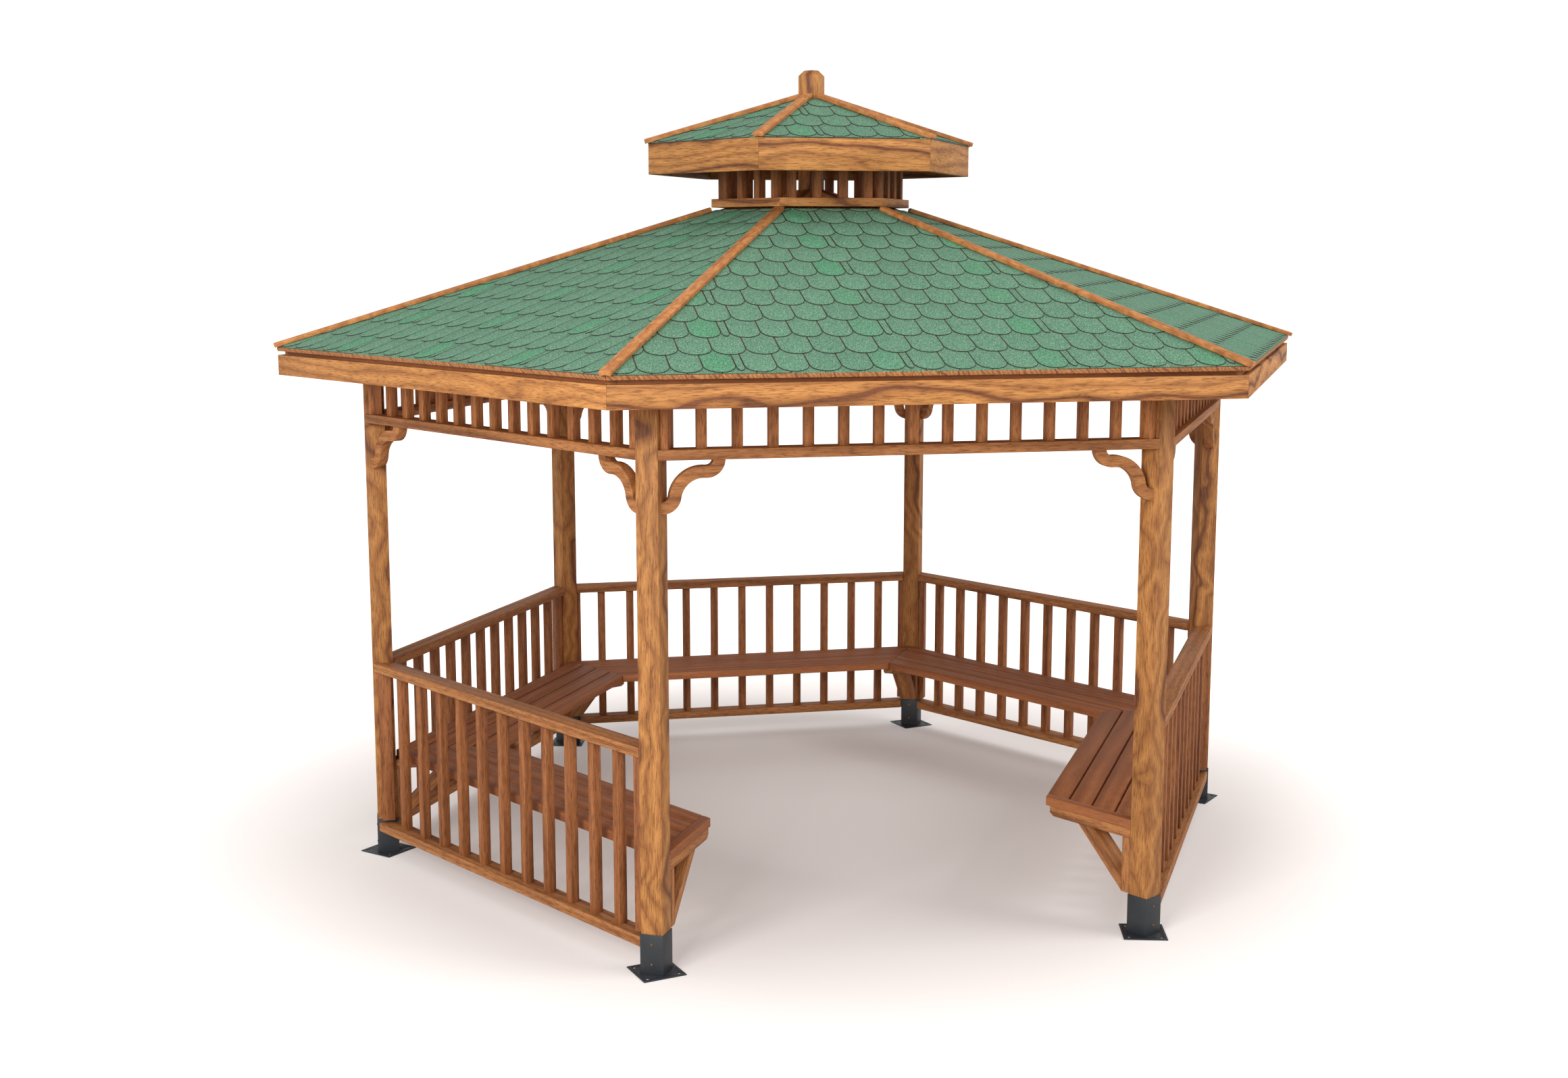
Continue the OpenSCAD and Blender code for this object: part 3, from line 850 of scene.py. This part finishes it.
def decked_side(v_out, v_in, z_out, pitch):
    """One side of boards, drawn for the back side, cut at both hips."""
    run = (v_out - v_in) / math.cos(pitch)
    board = timber("deck_board", run, BOARD_W - BOARD_SEAM, DECK_T,
                   BOARD_EASE)
    slope = (move(0, v_out, z_out) @ Matrix.Rotation(-pitch, 4, "X")
             @ move(0, -run / 2, DECK_T / 2))
    count = math.ceil(v_out * HALF_BAY / BOARD_W) * 2
    parts = []
    for i in range(count):
        u = (i - (count - 1) / 2) * BOARD_W
        parts.append(another(board, slope @ move(u) @ turn(90, "Z")))
    put_away(board)
    side = joined(parts)
    cut_at_hips(side, DECK_GAP)
    return side


decking = decked_side(EAVE_V, LANTERN_IN, EAVE_Z, PITCH)
saw(decking, (0, 0, LANTERN_Z), (0, 0, 1))
for side, angle in SIDES.items():
    one = another(decking, at_side(angle))
    assemble("deck_" + side, [one], deck_finish, "roof_timber",
             "roof_" + side)
put_away(decking)

CUPOLA_PITCH = math.radians(18.8)
CUPOLA_V = cupola_high[1]
CUPOLA_EAVE = cupola_high[2] - DECK_T / math.cos(CUPOLA_PITCH)
king_low, king_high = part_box("king_post")
KING_R = king_high[0]
cap_deck = decked_side(CUPOLA_V, KING_R * 0.9, CUPOLA_EAVE, CUPOLA_PITCH)
saw(cap_deck, (0, CUPOLA_V - FASCIA_T, 0), (0, 1, 0))
cupola_parts = [another(cap_deck, at_side(angle)) for angle in SIDES.values()]
put_away(cap_deck)
assemble("cupola_deck", cupola_parts, deck_finish, "roof_timber",
         "cupola_roof")

RAFTER_H = 0.094
RAFTER_LENGTH = 2.60
RAFTER_EASE = 0.003
EAVE_R = fascia_high[0]
rafter_top = EAVE_Z - RAFTER_W / 2 * math.tan(PITCH) / 2
rafter = timber("rafter", RAFTER_LENGTH, RAFTER_W,
                RAFTER_H * math.cos(HIP_SLOPE), RAFTER_EASE)
reach = EAVE_R / 2
middle = rafter_top + (EAVE_R - reach) * math.tan(HIP_SLOPE) - RAFTER_H / 2
rafter.data.transform(move(reach, 0, middle)
                      @ Matrix.Rotation(HIP_SLOPE, 4, "Y"))
behind_fascia = EAVE_R * math.cos(LEAN) - FASCIA_T
for hand in (1, -1):
    out = Vector((math.cos(LEAN), hand * math.sin(LEAN), 0))
    saw(rafter, out * behind_fascia, out)
saw(rafter, (KING_R, 0, 0), (-1, 0, 0))
rafters = [another(rafter, at_corner(angle)) for angle in CORNERS.values()]
put_away(rafter)
assemble("rafters_at_hips", rafters, rail_finish, "roof_timber",
         "hip_rafters")


# ---------------------------------------------------------------- shingles
# Bitumen shingles with rounded tabs cover the boards in overlapping courses.
# They come in strips of five tabs with a narrow offcut between two strips;
# the green granules leave the cut edges dark, and a dark rim round the top of
# each tab carries that colour inward as painted shade of the gaps between
# tabs.

TAB_PITCH = 0.1244
TAB_GAP = 0.0022
TAB_RIM = 0.0015
COURSE = 0.160
TAB_T = 0.0030
TAB_CROWN = 0.0007
TAB_LIFT = 0.0012
TAB_ARC = 0.060
TAB_LENGTH = COURSE + 0.068
TABS_IN_STRIP = 5
EAVE_SHOW = 0.012
EAVE_TRIM = 0.001
HIP_TRIM = 0.002
OFFCUT = 0.031
OFFCUT_ARC = 0.036
OFFCUT_SHORT = 0.014
FIRST_OFFCUT = 0.097
OFFCUT_SHIFT = 0.1
TAB_SHADES = (0.15, 0.62)
FIRST_SHADES = (0.70, 0.86)
NEARLY = 0.0001


def shingle_tab(name, width, arc):
    """A tab lying flat, its round end at y = 0, running to +Y."""
    bpy.ops.object.select_all(action="DESELECT")
    bpy.ops.mesh.primitive_circle_add(vertices=28, radius=0.5,
                                      fill_type="NGON")
    tab = bpy.context.object
    tab.name = name
    tab.scale = (width, 2 * arc, 1)
    tab.location = (0, arc, 0)
    bpy.ops.object.transform_apply(location=True, rotation=False, scale=True)
    saw(tab, (0, arc, 0), (0, 1, 0))
    only(tab)
    points = tab.data.vertices
    for point in points:
        point.select = point.co.y > arc - NEARLY
    bpy.ops.object.mode_set(mode="EDIT")
    bpy.ops.mesh.select_mode(type="EDGE")
    bpy.ops.object.mode_set(mode="OBJECT")
    for edge in tab.data.edges:
        edge.select = all(points[i].co.y > arc - NEARLY
                          for i in edge.vertices)
    bpy.ops.object.mode_set(mode="EDIT")
    bpy.ops.mesh.extrude_region_move(
        TRANSFORM_OT_translate={"value": (0, TAB_LENGTH - arc, 0)})
    bpy.ops.mesh.select_mode(type="FACE")
    bpy.ops.mesh.select_all(action="SELECT")
    bpy.ops.mesh.dissolve_limited()
    bpy.ops.mesh.select_all(action="SELECT")
    bpy.ops.mesh.extrude_region_move(
        TRANSFORM_OT_translate={"value": (0, 0, TAB_T)})
    bpy.ops.mesh.inset(thickness=TAB_RIM)
    bpy.ops.transform.translate(value=(0, 0, TAB_CROWN))
    bpy.ops.mesh.select_all(action="SELECT")
    bpy.ops.mesh.normals_make_consistent(inside=False)
    bpy.ops.object.mode_set(mode="OBJECT")
    shade = tab.data.attributes.new("shade", "FLOAT", "POINT")
    shade.data.foreach_set("value", [0.0] * len(tab.data.vertices))
    tab.data.materials.append(granule_finish)
    tab.data.materials.append(edge_and_gap_shade_finish)
    # Every face but the flat top takes the dark edge finish: the sides and
    # underside in the bitumen's own colour, and the thin sloped rim round the
    # top as painted shade of the gap round the tab.
    for face in tab.data.polygons:
        face.material_index = 0 if face.normal.z > 0.9999 else 1
    return tab


def granules(name):
    """Green mineral granules, pale and dark mixed, each tab its own shade."""
    finish = plain_finish(name, (0.14, 0.28, 0.18), 0.85)
    tree = finish.node_tree
    shader = tree.nodes["Principled BSDF"]
    place = node_of(tree.nodes, "ShaderNodeTexCoord").outputs["Object"]
    grit = stretched_noise(tree, place, (260.0, 260.0, 260.0), 3.0)
    colour = ramp_of(tree, grit, [(0.34, (0.022, 0.085, 0.050)),
                                  (0.45, (0.090, 0.225, 0.132)),
                                  (0.56, (0.155, 0.325, 0.200)),
                                  (0.66, (0.38, 0.54, 0.40))])
    own = node_of(tree.nodes, "ShaderNodeAttribute", attribute_name="shade")
    tone = ramp_of(tree, own.outputs["Fac"], [(0.0, (0.80, 0.86, 0.86)),
                                              (0.6, (0.90, 0.95, 0.94)),
                                              (0.75, (0.72, 0.98, 0.86)),
                                              (1.0, (0.56, 1.04, 0.82))])
    colour = tint(tree, "MULTIPLY", 1.0, colour, tone)
    tree.links.new(colour, shader.inputs["Base Color"])
    relief = node_of(tree.nodes, "ShaderNodeBump")
    relief.inputs["Strength"].default_value = 0.5
    relief.inputs["Distance"].default_value = 0.0012
    tree.links.new(grit, relief.inputs["Height"])
    tree.links.new(relief.outputs["Normal"], shader.inputs["Normal"])
    return finish


granule_finish = granules("green_granules")
# The dark edge finish: the bitumen's own colour on the cut edges, and painted
# shade where it rims the tops of the tabs.
edge_and_gap_shade_finish = powder_coat("bitumen_edge_and_painted_gap_shade", (0.034, 0.020, 0.014))


def shaded(tab, place, shade):
    """Lays one more tab, with a shade of its own."""
    more = another(tab, place)
    values = [shade] * len(more.data.vertices)
    more.data.attributes["shade"].data.foreach_set("value", values)
    return more


def shingled_side(v_out, v_in, z_out, pitch, first_offcut):
    """One side of shingles, drawn for the back side."""
    slope = (move(0, v_out, z_out) @ Matrix.Rotation(-pitch, 4, "X")
             @ move(0, 0, DECK_T))
    run = (v_out - v_in) / math.cos(pitch)
    tilt_up = math.atan2(TAB_T, COURSE)
    strip = TABS_IN_STRIP * TAB_PITCH
    close = (strip - OFFCUT) / TABS_IN_STRIP
    wide = shingle_tab("tab", TAB_PITCH - TAB_GAP, TAB_ARC)
    tight = shingle_tab("tight_tab", close - TAB_GAP, TAB_ARC)
    narrow = shingle_tab("offcut", OFFCUT - TAB_GAP, OFFCUT_ARC)
    tabs = []
    for row in range(-1, math.ceil(run / COURSE) + 1):
        y = -EAVE_SHOW - row * COURSE
        half = (v_out + y * math.cos(pitch)) * HALF_BAY + TAB_PITCH
        if row % 2 == 0:
            course = [(tight, close)] * TABS_IN_STRIP + [(narrow, OFFCUT)]
        else:
            course = [(wide, TAB_PITCH)] * TABS_IN_STRIP
        start = first_offcut + OFFCUT / 2
        if row % 2:
            start += close / 2
        u = start - math.ceil((half + start) / strip + 1) * strip
        k = 0
        while u < half:
            piece, width = course[k % len(course)]
            centre = u + width / 2
            if abs(centre) < half:
                short = OFFCUT_SHORT if piece is narrow else 0.0
                spot = (slope @ move(centre, y - short, TAB_LIFT)
                        @ Matrix.Rotation(tilt_up, 4, "X") @ turn(180, "Z"))
                shade = chance.uniform(*TAB_SHADES)
                if row % 2 == 0 and k % len(course) == 0:
                    shade = chance.uniform(*FIRST_SHADES)
                tabs.append(shaded(piece, spot, shade))
            u += width
            k += 1
    put_away(wide, tight, narrow)
    side = joined(tabs)
    cut_at_hips(side, HIP_TRIM)
    saw(side, (0, v_in, 0), (0, -1, 0))
    saw(side, (0, v_out + EAVE_TRIM, 0), (0, 1, 0))
    return side


def shingle_roof(name, v_out, v_in, z_out, pitch, node):
    """Shingles on all six sides of a roof, each side started afresh."""
    parts = []
    for number, angle in enumerate(SIDES.values()):
        side = shingled_side(v_out, v_in, z_out, pitch,
                             FIRST_OFFCUT + OFFCUT_SHIFT * number)
        side.data.transform(at_side(angle))
        parts.append(side)
    assemble(name, parts, None, "shingles", node)


SHINGLES_IN = 0.385
shingle_roof("main_shingles", EAVE_V, SHINGLES_IN, EAVE_Z, PITCH,
             "roof_shingles")
shingle_roof("cupola_tabs", CUPOLA_V, KING_R * 0.95, CUPOLA_EAVE,
             CUPOLA_PITCH, "cupola_shingles")


# ---------------------------------------------------------------- hip caps
# Two 21 x 18 mm boards meet along each hip and cover the cut shingles. They
# are screwed down through the shingles, and end against the lantern.

CAP_W = 0.021
CAP_T = 0.018
CAP_OVER = 0.012
CAP_WASTE = 0.010
CAP_EASE = 0.002
SHINGLE_T = 0.005

cap_finish = oiled_timber("oiled_cap", (0.60, 0.255, 0.085),
                          (0.50, 0.190, 0.060), (0.24, 0.080, 0.028),
                          9.0, 3.0, (9.0, 3.0, 3.0), 0.35, 0.6)


def hip_cap(r_out, z_out, pitch, length):
    """The pair of boards on the right-hand hip."""
    hip = math.atan(math.tan(pitch) * math.cos(LEAN))
    roll = math.atan(math.tan(pitch) / 2 * math.cos(hip))
    base = (move(r_out, 0, z_out + (DECK_T + SHINGLE_T) / math.cos(pitch))
            @ Matrix.Rotation(hip, 4, "Y") @ move(CAP_OVER))
    pair = []
    for hand in (1, -1):
        board = timber("cap_board", length, CAP_W + CAP_WASTE, CAP_T,
                       CAP_EASE)
        board.data.transform(
            base @ Matrix.Rotation(-hand * roll, 4, "X")
            @ move(-length / 2, hand * (CAP_W - CAP_WASTE) / 2, CAP_T / 2))
        saw(board, (0, hand * JOINT, 0), (0, -hand, 0))
        pair.append(board)
    return pair


ring_low, ring_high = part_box("lantern_ring")
RING_R = ring_high[0]
RING_V = ring_high[1]


def capped_hips(name, r_out, z_out, pitch, stop_r, facet, node):
    """Caps on all six hips, sawn to meet the piece of corner radius stop_r.

    facet is half the angle that one face of that piece takes up.
    """
    pair = hip_cap(r_out, z_out, pitch, r_out - stop_r + SAW_SPARE)
    for board, hand in zip(pair, (1, -1)):
        out = Vector((math.cos(facet), hand * math.sin(facet), 0))
        saw(board, out * (stop_r * math.cos(facet)), -out)
    parts = [another(board, at_corner(angle)) for angle in CORNERS.values()
             for board in pair]
    put_away(*pair)
    assemble(name, parts, cap_finish, "cap_timber", node)


capped_hips("main_hip_caps", EAVE_R, EAVE_Z, PITCH, RING_R, LEAN,
            "hip_caps")


# ---------------------------------------------------------------- lantern
# A ring of boards on the deck carries 24 short slats, and these carry the
# cupola. Air leaves the roof between them.

RING_W = 0.080
LANTERN_EASE = 0.002
LANTERN_SLATS = 4
LANTERN_STEP = 0.115

ring_end = RING_V * HALF_BAY
ring_board = timber("ring_board", 2 * ring_end + SAW_SPARE, RING_W,
                    ring_high[2] - ring_low[2], LANTERN_EASE,
                    mitre(ring_end, RING_W / 2))
ring_parts = [another(ring_board, at_side(angle)
                      @ move(0, RING_V - RING_W / 2,
                             (ring_low[2] + ring_high[2]) / 2))
              for angle in SIDES.values()]
put_away(ring_board)
assemble("lantern_base", ring_parts, fascia_finish, "timber", "lantern_ring")

slats_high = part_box("lantern_slats")[1]
slat_rise = slats_high[2] - ring_high[2]
lantern_slat = timber("lantern_slat", slat_rise, BAR_W, BAR_W, LANTERN_EASE)
upright_slats = []
for angle in SIDES.values():
    here = at_side(angle)
    eave = here @ Vector((0, CUPOLA_V, CUPOLA_EAVE))
    facing = here @ Vector((0, math.sin(CUPOLA_PITCH),
                            math.cos(CUPOLA_PITCH)))
    for place in bars(LANTERN_SLATS, LANTERN_STEP, slats_high[1] - BAR_W / 2,
                      ring_high[2] + slat_rise / 2):
        one = another(lantern_slat, here @ place)
        saw(one, eave, facing)
        upright_slats.append(one)
put_away(lantern_slat)
assemble("lantern_uprights", upright_slats, bar_finish, "timber",
         "lantern_slats")


# ---------------------------------------------------------------- cupola
# The cupola's caps run up to the king post, whose bevelled eight-sided top
# stands out of the roof as the finial.

KING_FACES = 8
KING_BEVEL = 0.025
KING_EASE = 0.0015

bpy.ops.object.select_all(action="DESELECT")
bpy.ops.mesh.primitive_cylinder_add(vertices=KING_FACES, radius=KING_R,
                                    depth=king_high[2] - king_low[2])
king = bpy.context.object
bpy.ops.object.mode_set(mode="EDIT")
bpy.ops.mesh.select_mode(type="FACE")
bpy.ops.mesh.select_all(action="DESELECT")
bpy.ops.object.mode_set(mode="OBJECT")
for face in king.data.polygons:
    face.select = face.normal.z > 0.9
bpy.ops.object.mode_set(mode="EDIT")
bpy.ops.mesh.bevel(offset=KING_BEVEL, segments=1)
bpy.ops.object.mode_set(mode="OBJECT")
ease(king, KING_EASE)
king.data.transform(turn(90, "Y"))
mark_grain(king)
king.data.transform(move(0, 0, (king_low[2] + king_high[2]) / 2)
                    @ turn(-90, "Y"))
assemble("king_post_turned", [king], fascia_finish, "timber", "king_post")

CUPOLA_R = cupola_high[0]
capped_hips("cupola_caps", CUPOLA_R, CUPOLA_EAVE, CUPOLA_PITCH, KING_R,
            math.pi / KING_FACES, "cupola_hip_caps")


# ---------------------------------------------------------------- the room
# A pale floor that brightens away from the gazebo, a soft even sky, two
# large soft lamps, and the camera, high and a little left of the entrance.

bpy.ops.object.select_all(action="DESELECT")
bpy.ops.mesh.primitive_plane_add(size=120)
ground = bpy.context.object
ground.name = "floor"
floor_finish = plain_finish("pale_floor", (0.78, 0.735, 0.71), 0.9)
ground.data.materials.append(floor_finish)
tree = floor_finish.node_tree
# Seen by the camera the floor glows, faintly within 1.2 m of the centre and
# strongly past 4.6 m: painted light that whitens the far floor and leaves a
# painted shade round the gazebo.
sight = node_of(tree.nodes, "ShaderNodeLightPath")
place = node_of(tree.nodes, "ShaderNodeTexCoord").outputs["Object"]
away = node_of(tree.nodes, "ShaderNodeVectorMath", operation="LENGTH")
lift = node_of(tree.nodes, "ShaderNodeMapRange",
               interpolation_type="SMOOTHSTEP")
lift.inputs["From Min"].default_value = 1.2
lift.inputs["From Max"].default_value = 4.6
lift.inputs["To Min"].default_value = 0.09
lift.inputs["To Max"].default_value = 0.85
tree.links.new(place, away.inputs[0])
tree.links.new(away.outputs["Value"], lift.inputs["Value"])
glow = node_of(tree.nodes, "ShaderNodeMath", operation="MULTIPLY")
tree.links.new(lift.outputs["Result"], glow.inputs[0])
tree.links.new(sight.outputs["Is Camera Ray"], glow.inputs[1])
floor_shader = tree.nodes["Principled BSDF"]
floor_shader.inputs["Emission Color"].default_value = (1.0, 0.96, 0.94, 1.0)
floor_shader.inputs["Specular IOR Level"].default_value = 0.0
tree.links.new(glow.outputs[0], floor_shader.inputs["Emission Strength"])

world = bpy.data.worlds.new("studio")
bpy.context.scene.world = world
world.use_nodes = True
sky = world.node_tree.nodes["Background"]
sky_links = world.node_tree.links
sky.inputs["Color"].default_value = (1.0, 1.0, 1.0, 1.0)
path = world.node_tree.nodes.new("ShaderNodeLightPath")
seen = world.node_tree.nodes.new("ShaderNodeMath")
seen.operation = "MAXIMUM"
level = world.node_tree.nodes.new("ShaderNodeMapRange")
level.inputs["To Min"].default_value = 0.66
level.inputs["To Max"].default_value = 1.05
sky_links.new(path.outputs["Is Camera Ray"], seen.inputs[0])
sky_links.new(path.outputs["Is Transmission Ray"], seen.inputs[1])
sky_links.new(seen.outputs[0], level.inputs["Value"])
sky_links.new(level.outputs["Result"], sky.inputs["Strength"])


def soft_lamp(name, spot, target, size, power):
    """A large square lamp aimed at a point."""
    light = bpy.data.lights.new(name, "AREA")
    light.size = size
    light.energy = power
    lamp = bpy.data.objects.new(name, light)
    bpy.context.collection.objects.link(lamp)
    lamp.location = spot
    aim = Vector(target) - Vector(spot)
    lamp.rotation_euler = aim.to_track_quat("-Z", "Y").to_euler()


soft_lamp("key_lamp", (-7.0, -9.0, 5.4), (0, 0, 1.5), 5.0, 820)
soft_lamp("fill_lamp", (9.5, -5.0, 7.0), (0, 0, 1.6), 6.0, 560)

view = bpy.data.cameras.new("camera")
view.sensor_width = 36
view.lens = 43.486
eye = bpy.data.objects.new("camera", view)
bpy.context.collection.objects.link(eye)
eye.location = (-1.9698, -8.6451, 2.7846)
eye.rotation_euler = (math.radians(81.067), 0, math.radians(-12.027))
bpy.context.scene.camera = eye
bpy.context.scene.view_settings.view_transform = "Standard"
